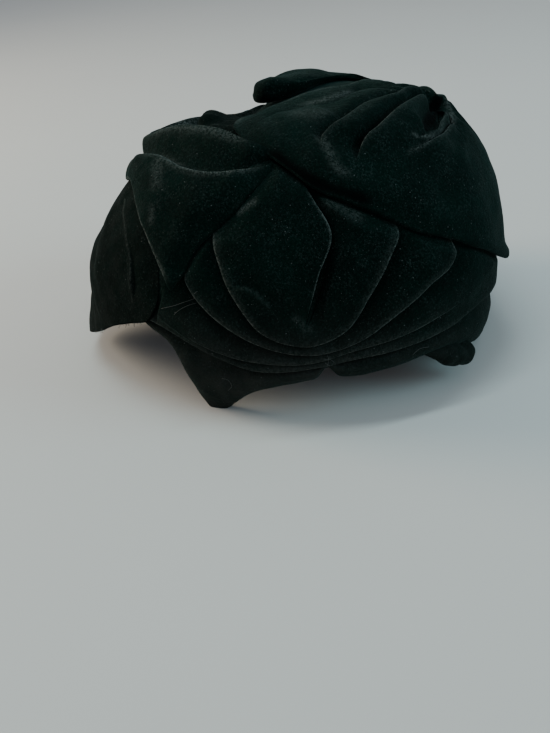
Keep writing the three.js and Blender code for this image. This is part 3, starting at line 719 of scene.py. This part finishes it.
# ---- front drape
# The drape's lines fan out from the gather to its rim, in order round it. fold is where along a line
# it begins to roll over, is full, begins to fade and has gone; high and deep are the fold's height
# and the dip behind it; rim is the azimuth at which the line meets the drape's edge.
DRAPE_LINES = table(
    "rim count reach line fold high deep over",
    (0, 30, 12, [[0, 52], [0, 42]]),  # front
    (32, 34, 12, [[20, 52], [30, 46]]),  # cheek
    (61, 10, 6, [[16, 54], [19, 55], [29, 55], [38, 55], [47, 55], [54, 54], [58, 50]],
     [0.05, 0.2, 0.45, 0.75], 1.2, 2.0),  # lower crease
    (64.5, 26, 9, [[4, 56.6], [11, 56.8], [21, 57.1], [30, 56.4], [40, 56.6], [54, 56], [60, 52]],
     [0.02, 0.1, 0.42, 0.6], 0.9, 5.0, 0.45),  # pocket
    (71, 16, 8, [[4, 61], [12, 62.9], [23, 63.9], [37, 64], [48, 62.9], [56, 61.5], [63, 60.1],
     [68.5, 57.6], [71, 54]], [0.03, 0.12, 0.68, 0.84], 2.8, 5.6),  # second fold
    (75.5, 34, 12, [[6, 65.2], [20, 67.4], [34, 68.9], [46, 69.4], [57, 68.2], [66, 66.4], [74, 64.8],
     [78.5, 63.4], [79, 62], [77.8, 60.2], [75.2, 56]], [0.03, 0.12, 0.64, 0.78], 2.6, 4.4),  # first fold
    (112, 34, 16, [[10, 68], [8, 71], [12, 74.5], [27, 76.5], [48, 76.5], [65, 78], [80, 78], [95, 76],
     [106, 72.5]], [0.0, 0.1, 0.3, 0.55], 1.4, 2.0),  # sheen ridge
    (130, 26, 14, [[-12, 65], [-21, 68], [-24, 71], [-19, 73.6], [-11, 77], [-6, 80.4], [2, 84.2],
     [73, 85.8], [105, 82.2]], [0.04, 0.2, 0.8, 0.95], 2.0, 2.2),  # top crest
    # the left side: back, fold, cheek and front
    (-132, 30, 14, [[-45, 66], [-75, 72], [-105, 76]]),
    (-90, 30, 10, [[-40, 62], [-62, 65], [-80, 64]], [0.05, 0.2, 0.6, 0.85], 1.6, 2.6),
    (-68, 30, 10, [[-30, 58], [-48, 57], [-60, 53]], [0.05, 0.2, 0.55, 0.8], 1.5, 2.4),
    (-30, 30, 12, [[-18, 51], [-25, 44]]),
)
DRAPE_ALONG = 150
DRAPE_ROLL = 1.1
DRAPE_WALL, DRAPE_LEAST_WALL = 1.8, 1.4
DRAPE_THINNED = 2.0  # how much further in its inner face lies away from its edge
# how far it stands off at its top and lower down, and the degrees from the pole in between
DRAPE_STAND = {"top": 0.6, "low": 3.2, "from": 6, "to": 28}
GATHER_BUMP = ([-8, 57], 2.9, 5.5)  # place, mm high, degrees wide
FRONT_SWELL = 0.9
GATHERS = {"high": 0.45, "from": 9, "width": 8, "count": 13}
# the edge is turned under: raised at the front, low at the sides, and resting on the crown behind
EDGE = {"front": 0.8, "side": -1.1, "sink": 2.6}
FRONT_CORNER = {"az": 14, "width": 9, "lift": 1.6}
DRAPE_FOLDS = table(
    FOLD_COLUMNS,
    # the dip between the loop's end and the gather
    ([[-8, 69], [-13, 66.5], [-18, 64]], -2.4, 3.4),
    # the soft upright fold at the front, darker towards the forehead
    ([[8, 54.5], [14, 52], [22, 50.5], [30, 49], [36, 47.5], [40, 45.5]], 1.3, 7, [-1, 4, 0.7, 8],
     [0.15, 0.5]),
    # the hole beside the gather
    ([[-3, 58], [5, 59.2], [13, 59.7], [22, 59.9], [30, 59.4], [37, 58]], -5.8, 3.3, None, [0.05, 0.2]),
    # the bright bulge under the sheen ridge
    ([[62, 74], [85, 72], [100, 70]], 1.0, 8),
    ([[88, 63], [70, 52], [52, 46]], 0.7, 6),
    # slack towards the cut edge
    ([[50, 47], [36, 41], [22, 36]], -0.6, 6),
)


def drape_base(place):
    """How far the drape stands off the dome, before its folds."""
    el = place[..., 1]
    front = bell(place[..., 0], 48) * (1 - step(el, 44, 54)) * step(el, 26, 40)
    stand = step(90 - el, DRAPE_STAND["from"], DRAPE_STAND["to"])
    base = mix(DRAPE_STAND["top"], DRAPE_STAND["low"], stand)
    return base + bump_at(place, *GATHER_BUMP) + FRONT_SWELL * front


def make_drape():
    ring = smooth_line(closed(drape_outline), 720)
    run = np.linspace(0, 1, len(ring))
    turned = np.degrees(np.arctan2(ring[:, 1], ring[:, 0]))
    a = np.linspace(0, 1, DRAPE_ALONG) ** 0.85
    centre = to_plan(GATHER)
    lines, ends, weights = [], [], []
    for row in DRAPE_LINES:
        at = np.argmin(from_front(turned - row["rim"]))
        even = smooth_line(np.vstack([centre, to_plan(row["line"]), ring[at]]), 400)
        lines.append(interp_rows(a, np.linspace(0, 1, len(even)), even))
        ends.append(run[at])
        weights.append(plateau(a, *row["fold"]) if "fold" in row else 0 * a)
    ends[0] = 0.0

    rows = []
    for k, row in enumerate(DRAPE_LINES):
        n = (k + 1) % len(lines)
        after = DRAPE_LINES[n]
        high, deep = after.get("high", 0), after.get("deep", 0)
        width = spacing(from_plan(lines[k]), from_plan(lines[n]))
        calm = step(width, 0.3, 4.5)
        foot = -row.get("deep", 0) * weights[k] * calm
        radius = roll_radius(width, (high + deep) * weights[n] * calm, DRAPE_ROLL)
        tucked, folded = weights[k] * row.get("over", 1), weights[n] * after.get("over", 1)
        span = (ends[n] - ends[k]) % 1
        top = high * weights[n] * calm
        for x, lift, w in ply(row, width, foot, top, radius, tucked, folded):
            share = x / width
            spot = mix(lines[k], lines[n], share[:, None])
            # the straight way between two lines' ends is bent out to the drape's real edge
            true_end = interp_rows((ends[k] + span * share[-1]) % 1, run, ring)
            rows.append((spot + (true_end - spot[-1]) * (a**3)[:, None], lift, w))
    spots, lifts, worn = (np.stack(column, 1) for column in zip(*rows))

    place = from_plan(spots)
    flat = dome_point(place)
    turn = np.arctan2(spots[..., 1] - centre[1], spots[..., 0] - centre[0])
    ring_of_gathers = bell(MM_PER_DEGREE * apart(spots, centre) - GATHERS["from"], GATHERS["width"])
    gathers = GATHERS["high"] * ring_of_gathers * np.sin(GATHERS["count"] * turn + 2 * np.sin(2 * turn))
    edge = nearest(closed(drape_outline), spots)[0]
    under_loop = step(outside(loop_outline, spots), 0, 3)
    relief = folds(DRAPE_FOLDS, place) + gathers + 0.35 * ripple(flat, 38, 5) + 0.12 * ripple(flat, 12, 6)
    base = drape_base(place)
    lift = base + lifts * step(edge, 0, 5) * under_loop + relief * step(edge, -1, 6) * under_loop
    behind = step(from_front(place[..., 0]), 96, 116)
    raised = mix(EDGE["front"], EDGE["side"], step(np.abs(place[..., 0]), 34, 56)) * (1 - behind)
    corner = FRONT_CORNER["lift"] * bell(edge, 5)
    corner = corner * bell(place[..., 0] - FRONT_CORNER["az"], FRONT_CORNER["width"])
    lift = lift + raised * bell(edge, 3) - EDGE["sink"] * bell(edge, 7) * behind + corner
    picks = spaced(DRAPE_ALONG, 16)
    within = (base - DRAPE_WALL - DRAPE_THINNED * step(edge, 2, 8) + corner)[picks]
    inner = dome_point(place[picks], np.minimum(within, lift[picks] - DRAPE_LEAST_WALL))
    outer = dome_point(place, lift)
    return shell_piece("velvet_front_drape", outer, inner, worn + painted_light_bands(place), 3, poles=True)


# ---- wrap
WRAP_LINES = table(
    "top line count reach power",
    (3.6, [[98, 58], [108.5, 49.6], [118.5, 42.2], [124.6, 34.6], [136, 43.2], [150, 49.8], [165, 49.2],
     [180, 48.4]], 40, 12),
    (4.6, [[96, 60], [107, 57], [118, 55.6], [130, 55.8], [141, 56.6], [155, 55], [168, 52.3], [180, 51.4]],
     30, 30, 2.0),
    (4.6, [[96.5, 61.6], [107, 62.8], [118, 64.8], [131, 65.6], [145, 64.8], [158, 62], [169, 58.9],
     [180, 57.7]], 16, 5),
    (-2.6, [[97, 63], [107, 65], [118, 67.2], [131, 68.2], [145, 67.6], [158, 65.4], [169, 62.6],
     [180, 61.7]]),
)
WRAP_WALL, WRAP_INNER = 1.5, 3.0  # its inner face follows the outer one up to this lift
WRAP_ROLL = 1.5
WRAP_END_LIFT = 0.8
WRAP_COLUMNS = 420
WRAP_VALLEY = 5.6
WRAP_FAR_SIDE = 1.8  # how much lower it lies on the wearer's left
WRAP_FREE = [125, 128]  # its free edge is painted pale from here back, as worn pile and as a highlight
WRAP_BACK = {"from": 146, "to": 178, "drop": [5.0, 3.8, 0.2, 0.6]}  # how far each line drops
TIP = [124.6, 34.6]
TIP_ALONG = 3 / 14  # where along the wrap's free edge the tip is
TIP_POINT, TIP_RISE = (1.5, 0.011), (1.4, 5)  # how far it is drawn down and stands up, and how widely
WRAP_FRONT_EDGE = [[97, 59], [108.5, 49.6], [118.5, 42.2], [122.6, 37.4]]
WRAP_LIES_DOWN = (2.4, 4.5)  # how far that edge sinks onto the swag, and over what width
WRAP_FOLDS = table(
    FOLD_COLUMNS,
    ([[160, 53], [146, 54], [137, 51], [132, 45], [131, 41]], 0.9, 6),
    ([[120, 54], [121, 48], [124, 40]], 0.5, 5),
    ([[112, 55], [108, 53.5], [104, 55]], 0.6, 3),
)


def make_wrap():
    s = np.linspace(0, 1, WRAP_COLUMNS)
    lines = [spline(there_and_back(row["line"]), s) for row in WRAP_LINES]
    for at in (TIP_ALONG, 1 - TIP_ALONG):
        lines[0][:, 1] -= bump(s - at, *TIP_POINT)
    ends = mix(0.4, 1, plateau(s, 0, 0.08, 0.92, 1))
    rows = []
    for k, (a, b) in enumerate(zip(lines[:-1], lines[1:])):
        row = WRAP_LINES[k]
        width = spacing(a, b)
        back = step(from_front(a[:, 0]), WRAP_BACK["from"], WRAP_BACK["to"])
        foot, top = (
            mix(WRAP_END_LIFT, WRAP_LINES[i]["top"], ends) - WRAP_BACK["drop"][i] * back for i in (k, k + 1)
        )
        # only the first ply rolls over, and the second starts in the valley under it
        folded, tucked = ends * (k == 0), ends * (k == 1)
        radius = roll_radius(width, WRAP_VALLEY * ends, WRAP_ROLL)
        rows += laid(ply(row, width, foot - WRAP_VALLEY * tucked, top, radius, tucked, folded), a, b, width)
    place, lift, crest = (np.stack(column) for column in zip(*rows))
    turned, flat = both_sides(place), dome_point(place)
    to_tip = MM_PER_DEGREE * apart(to_plan(turned), to_plan(TIP))
    relief = folds(WRAP_FOLDS, turned) + 0.3 * ripple(flat, 30, 11) + 0.1 * ripple(flat, 10, 12)
    seam = nearest(plan_line(WRAP_FRONT_EDGE), to_plan(turned))[0]
    lift = lift + relief * ends + bump(to_tip, *TIP_RISE) - bump(seam, *WRAP_LIES_DOWN)
    lift = lift - WRAP_FAR_SIDE * step(place[..., 0], 182, 204)
    free = step(turned[..., 0], *WRAP_FREE)
    # the free edge is painted pale, worn pile and painted highlight, and the front edge that lies down in
    # shade is not
    crest = np.maximum(crest * step(seam, 2, 5), 0.5 * bell(np.arange(len(place))[:, None], 1.1) * free)
    picks = spaced(len(place), 14)
    inner = dome_point(place[picks], np.minimum(lift[picks], WRAP_INNER) - WRAP_WALL)
    inner[0] = dome_point(place[0], lift[0] - WRAP_WALL)
    outer = dome_point(place, lift)
    return shell_piece("velvet_back_wrap", outer, inner, crest + painted_light_bands(place), 4, 0.5 * free[0])


# ---- flap
# rows of [azimuth, elevation, lift] from its seam down to its cut edge
FLAP_ROWS = [
    [[131, 38, 0.6], [137, 46, 0.8], [144, 51, 0], [155, 53, -1.4], [168, 53, -2.6], [180, 53, -2.8]],
    [[130.5, 33, 0.7], [137, 40, 1.4], [145, 43, 1.2], [156, 45, 0.2], [168, 45, -0.6], [180, 45, -0.8]],
    [[131, 28.5, 0.8], [139, 32, 2], [147, 34.5, 3], [157, 36, 3.6], [168, 35.5, 4], [180, 35, 4.2]],
    [[133, 25.5, 1.1], [141, 26, 2.6], [149, 26, 5], [158, 24, 7.5], [169, 21, 10], [180, 19, 11.5]],
    [[136, 23.4, 1.4], [143, 21.2, 3], [151, 17.6, 6.2], [159, 13, 9.5], [169, 8, 13.5], [180, 3.5, 16]],
]
FLAP_WALL = 1.5
FLAP_ACROSS, FLAP_ALONG = 130, 300
FLAP_FOLDS = table(
    FOLD_COLUMNS,
    ([[155, 46], [148, 42], [144, 39], [141, 35.5], [140, 31], [140.5, 27]], 1.0, 2.2, [1, 1.3, 0.7, 3]),
    ([[165, 43], [160, 34], [158, 24]], 0.9, 6),
)


def make_flap():
    across, along = np.linspace(0, 1, FLAP_ACROSS), np.linspace(0, 1, FLAP_ALONG)
    rows = [spline(there_and_back(row), along).ravel() for row in FLAP_ROWS]
    grid = spline(rows, across).reshape(FLAP_ACROSS, FLAP_ALONG, 3)
    place, lift = grid[..., :2], grid[..., 2]
    turned, flat = both_sides(place), dome_point(place)
    free = step(across, 0.25, 0.6)[:, None]
    relief = folds(FLAP_FOLDS, turned) + 0.5 * ripple(flat, 32, 21)
    lift = lift + relief * free + 0.12 * ripple(flat, 10, 22)
    picks = spaced(FLAP_ACROSS, 30)
    inner = dome_point(place[picks], lift[picks] - FLAP_WALL)
    # painted pale along the crease: worn pile, and a painted highlight
    worn = bump(nearest(plan_line(FLAP_FOLDS[0]["line"]), to_plan(turned))[0], 0.42, 0.5)
    return shell_piece("velvet_rear_flap", dome_point(place, lift), inner, worn, 2, 0.0)


# ---- crown
CROWN_RIM = [
    [0, 0], [9, 0], [18, 7], [30, 12.5], [45, 15], [60, 15.5], [75, 15.5], [90, 16], [105, 12.5],
    [120, 15], [135, 25], [150, 26], [180, 26],
]
CROWN_LIFT, CROWN_WALL = -5.0, 1.8
CROWN_ROUND, CROWN_DOWN = 360, 150
CROWN_SHOW = {"width": 62, "from": 66, "to": 70, "lift": 3.8}  # it stands out behind the drape
CROWN_FRONT = ([-4, 57], 3, 9)  # its rise under the gather: place, mm high, degrees wide
CROWN_CREASE = [[156, 64], [151, 66.8], [147, 70.5], [138, 72], [128, 71.7], [120, 71]]
CROWN_FOLDS = table(
    FOLD_COLUMNS,
    # a ridge across the centre back
    ([[190, 72.5], [178, 72], [168, 71], [158, 69.5]], 3.0, 4.5, None, [0.01, 0.4]),
    (CROWN_CREASE, 1.0, 3, [1, 1.2, 1.0, 4]),
    ([[155, 72], [146, 69.5], [140, 67]], 0.9, 2.5),
    ([[190, 79.5], [176, 79], [160, 78], [146, 76.5]], -0.8, 5, None, [0.01, 0.2]),
)


def make_crown():
    az = np.linspace(-180, 180, CROWN_ROUND + 1)[:-1]
    rim = np.interp(np.abs(az), *np.transpose(CROWN_RIM))
    share = np.linspace(0, 1, CROWN_DOWN)[:, None]
    place = np.stack([az + 0 * share, mix(90, rim, share)], -1)
    turned, flat, el = both_sides(place), dome_point(place), place[..., 1]
    shown = bell(180 - turned[..., 0], CROWN_SHOW["width"]) * step(el, CROWN_SHOW["from"], CROWN_SHOW["to"])
    shown = shown * (1 - step(el, 84, 88))
    base = CROWN_LIFT + CROWN_SHOW["lift"] * shown + bump_at(place, *CROWN_FRONT)
    outer = dome_point(place, base + (folds(CROWN_FOLDS, turned) + 0.4 * ripple(flat, 22, 31)) * shown)
    picks = spaced(CROWN_DOWN, 60)
    inner = dome_point(place[picks], base[picks] - CROWN_WALL)
    # painted pale along the crease: worn pile, and a painted highlight
    worn = bump(nearest(plan_line(CROWN_CREASE), to_plan(turned))[0], 0.3, 0.8) * shown
    return shell_piece("velvet_crown", outer, inner, worn, 2, poles=True)


# ---- top loop and roll end
LOOP_CENTRE = np.array([7.0, -18.0])
# its height, in rows of [degrees forward of the pole, mm]
LOOP_HEIGHT = [[-9, 9.6], [-4, 10.6], [2, 8.6], [6, 6.4], [10, 4.4], [15, 2.4], [20, 0.8], [25, 0.5]]
LOOP_REST = 0.3
LOOP_POWER = 3.2  # how square its section is
LOOP_FOLDS = table(
    FOLD_COLUMNS,
    ([[168, 83], [-170, 82], [-130, 78], [-100, 74]], 0.9, 3, [1, 1.4, 1.6, 3]),
    ([[-60, 83], [-62, 74], [-50, 66]], -1.2, 5),
)


def make_loop():
    ring = smooth_line(closed(loop_outline), 241)[:-1]
    share = np.sin(np.linspace(0, np.pi / 2, 60))[:, None, None]
    spots = LOOP_CENTRE + share * (ring - LOOP_CENTRE)
    place = from_plan(spots)
    base = drape_base(place) + LOOP_REST
    body = (1 - np.minimum(share[..., 0], 1) ** LOOP_POWER) ** (1 / LOOP_POWER)
    relief = (folds(LOOP_FOLDS, place) + 0.5 * ripple(dome_point(place), 18, 41)) * step(body, 0.1, 0.7)
    tall = np.interp(spots[..., 0], *np.transpose(LOOP_HEIGHT))
    upper = dome_point(place, base + tall * (0.5 + 0.5 * body) + relief)
    lower = dome_point(place, base + tall * (0.5 - 0.5 * body))
    skin = np.concatenate([upper[:-1], (upper[-1:] + lower[-1:]) / 2, lower[:-1][::-1]])
    return ringed_piece("velvet_top_loop", skin, np.zeros(skin.shape[:2]), poles=True)


# rows of [azimuth, elevation, lift, radius] along its middle
ROLL_END = [
    [57.5, 13, -2.6, 0.3], [54.5, 12, -2.4, 2.2], [51.5, 10.6, -2.2, 3.8], [48, 9, -2, 4.7], [45, 8, -2, 5],
    [42, 7.3, -2, 4.7], [40, 7, -2, 3.6], [38.6, 6.9, -2, 0.3],
]


def circles(side, over, count):
    """The same circle round each row of two crossing ways."""
    turn = (2 * np.pi * np.arange(count) / count)[:, None]
    return side[:, None] * np.cos(turn) + over[:, None] * np.sin(turn)


def make_roll_end():
    path = spline(ROLL_END, np.linspace(0, 1, 60))
    a, radius = np.radians(path[:, 0]), path[:, 3][:, None]
    out = np.stack([-np.sin(a), -np.cos(a), 0 * a], -1)
    shape = circles(out, np.array([[0, 0, 1.0]]), 72)
    rings = dome_point(path[:, :2], path[:, 2])[:, None] + shape * radius[..., None]
    swell = 0.35 * ripple(rings, 9, 51) * np.minimum(radius / 4, 1)
    rings = rings + shape * swell[..., None]
    return ringed_piece("velvet_rim_roll_end", rings, np.zeros(swell.shape), poles=True)


# ---- loose threads
THREAD_RADIUS, THREAD_SIDES = 0.06, 5
THREADS = [
    # hairs caught in the pile below the tip of the wrap
    [[129, 28.2], [125, 29.6], [121, 31.6], [117.5, 33.6]],
    [[125, 27.6], [122.5, 29.6], [119.5, 31.2]],
    [[113, 9], [111.6, 10.6], [112.4, 12.4], [114, 12.8]],
    [[62, 14.5], [60, 15.6], [57.5, 15.4]],
    # the tack's stitches across the pleats
    [[85.2, 19.6], [85, 18.2], [85.4, 16.6]],
    [[86.2, 18.8], [84.4, 18.2], [83.6, 17.4]],
    [[86, 17.6], [85, 16.8], [84, 16.4]],
]
# cut ends along the flap's edge
FRAYED = {"spans": [[138.5, 147], [157, 163]], "count": 26, "long": [0.5, 1.8]}


def tube(path):
    """The points and faces of a thin closed tube along a path."""
    run = unit(np.gradient(path, axis=0))
    side = unit(np.cross(run, [0.3, 0.2, 0.93]))
    n = THREAD_SIDES
    ring = circles(side, np.cross(run, side), n)
    faces = [
        [i + j, i + (j + 1) % n, i + n + (j + 1) % n, i + n + j]
        for i in range(0, n * (len(path) - 1), n) for j in range(n)
    ]
    ends = [list(range(n))[::-1], list(range(n * len(path) - n, n * len(path)))]
    return (path[:, None] + THREAD_RADIUS * ring).reshape(-1, 3), faces + ends


def surface_tree(piece):
    polygons = [list(face.vertices) for face in piece.data.polygons]
    return BVHTree.FromPolygons([vertex.co for vertex in piece.data.vertices], polygons)


def on_surface(trees, place):
    """The outermost point of the cloth at a place, in mm."""
    start, foot = (Vector((dome_point(place, lift) * MM).tolist()) for lift in (40.0, 0.0))
    hits = [tree.ray_cast(start, foot - start)[0] for tree in trees]
    return np.array(min((hit for hit in hits if hit), key=lambda hit: (hit - start).length)) / MM


def make_threads(pieces):
    trees = [surface_tree(piece) for piece in pieces]
    paths = []
    for line in THREADS:
        path = np.array([on_surface(trees, place) for place in from_plan(plan_line(line, 14))])
        out = (path - [0, DOME_Y, 0]) / np.linalg.norm(path, axis=1, keepdims=True)
        paths.append(path + 0.6 * THREAD_RADIUS * out)
    rng = np.random.default_rng(7)
    cut = np.array(FLAP_ROWS[-1])
    t = np.linspace(0, 1, 5)[:, None]
    for low, high in FRAYED["spans"]:
        for az in rng.uniform(low, high, FRAYED["count"]):
            el, lift = interp_rows(az, cut[:, 0], cut[:, 1:])
            root = dome_point(np.array([az, el + 0.4]), lift - 0.7)
            way = np.array([rng.normal(0, 0.35), rng.normal(0, 0.35), -1.0])
            bow = rng.normal(0, 0.25, 3)
            long = rng.uniform(*FRAYED["long"])
            paths.append(root + way * (0.6 + long) * t + bow * t * (1 - t) * 2)
    points, faces, first = [], [], 0
    for path in paths:
        more, sides = tube(path)
        faces += [[first + k for k in face] for face in sides]
        points.append(more)
        first += len(more)
    mesh = smooth_mesh("loose_threads", np.concatenate(points), faces)
    mesh.materials.append(thread_finish)
    threads = new_object("loose_threads", mesh)
    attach(threads, "root")


# ---- the hat
swag_right = finish_piece(make_swag("velvet_swag_right", 1, 1), "side_swag_right")
swag_left = finish_piece(make_swag("velvet_swag_left", -1, 61), "side_swag_left")
drape = finish_piece(make_drape(), "front_drape")
wrap = finish_piece(make_wrap(), "back_wrap")
flap = finish_piece(make_flap(), "rear_flap", shaded_flat_nap)
loop = finish_piece(make_loop(), "top_loop")
roll_end = finish_piece(make_roll_end(), "rim_roll_end")
crown = finish_piece(make_crown(), "crown", shaded_flat_nap)

make_threads([swag_right, wrap, flap])


# ---- stage
AIM = Vector((0, 0, 0.05))  # what the lights point at, in metres
WORLD_COLOUR, WORLD_STRENGTH = (0.80, 0.86, 0.95, 1), 0.55


def look_along(place, forward, up):
    forward, up = Vector(forward).normalized(), Vector(up).normalized()
    right = forward.cross(up)
    return Matrix.Translation(place) @ Matrix((right, up, -forward)).transposed().to_4x4()


def add_camera():
    data = bpy.data.cameras.new("camera")
    data.lens = 39.3
    data.sensor_width = 36
    camera = new_object("camera", data)
    camera.matrix_world = look_along(
        (-0.34484, -0.00694, 0.18525), (0.85355, 0.04541, -0.51903), (0.52101, -0.07439, 0.8503),
    )
    bpy.context.scene.camera = camera


def add_floor():
    mesh = bpy.data.meshes.new("floor")
    mesh.from_pydata([(-3, -3, 0), (3, -3, 0), (3, 3, 0), (-3, 3, 0)], [], [(0, 1, 2, 3)])
    mesh.materials.append(plain("pale_floor", (0.52, 0.50, 0.475), 0.9, 3, 0.03))
    new_object("floor", mesh)


def add_light(name, place, size, power, colour):
    data = bpy.data.lights.new(name, "AREA")
    data.shape = "DISK"
    data.size = size
    data.energy = power
    data.color = colour
    new_object(name, data).matrix_world = look_along(place, AIM - Vector(place), (0.1, 0, 1))


def add_world():
    world = bpy.data.worlds.new("studio")
    world.use_nodes = True
    background = world.node_tree.nodes["Background"].inputs
    background["Color"].default_value = WORLD_COLOUR
    background["Strength"].default_value = WORLD_STRENGTH
    bpy.context.scene.world = world


add_camera()
add_floor()
add_light("warm_left", (0.35, 1.1, 0.55), 0.7, 14, (0.97, 0.85, 0.66))
add_light("cool_right", (-0.35, -1.3, 0.7), 0.9, 10, (0.45, 0.86, 0.98))
add_light("overhead", (0.1, 0.1, 1.5), 1.2, 11.5, (0.68, 0.95, 1.0))
add_world()
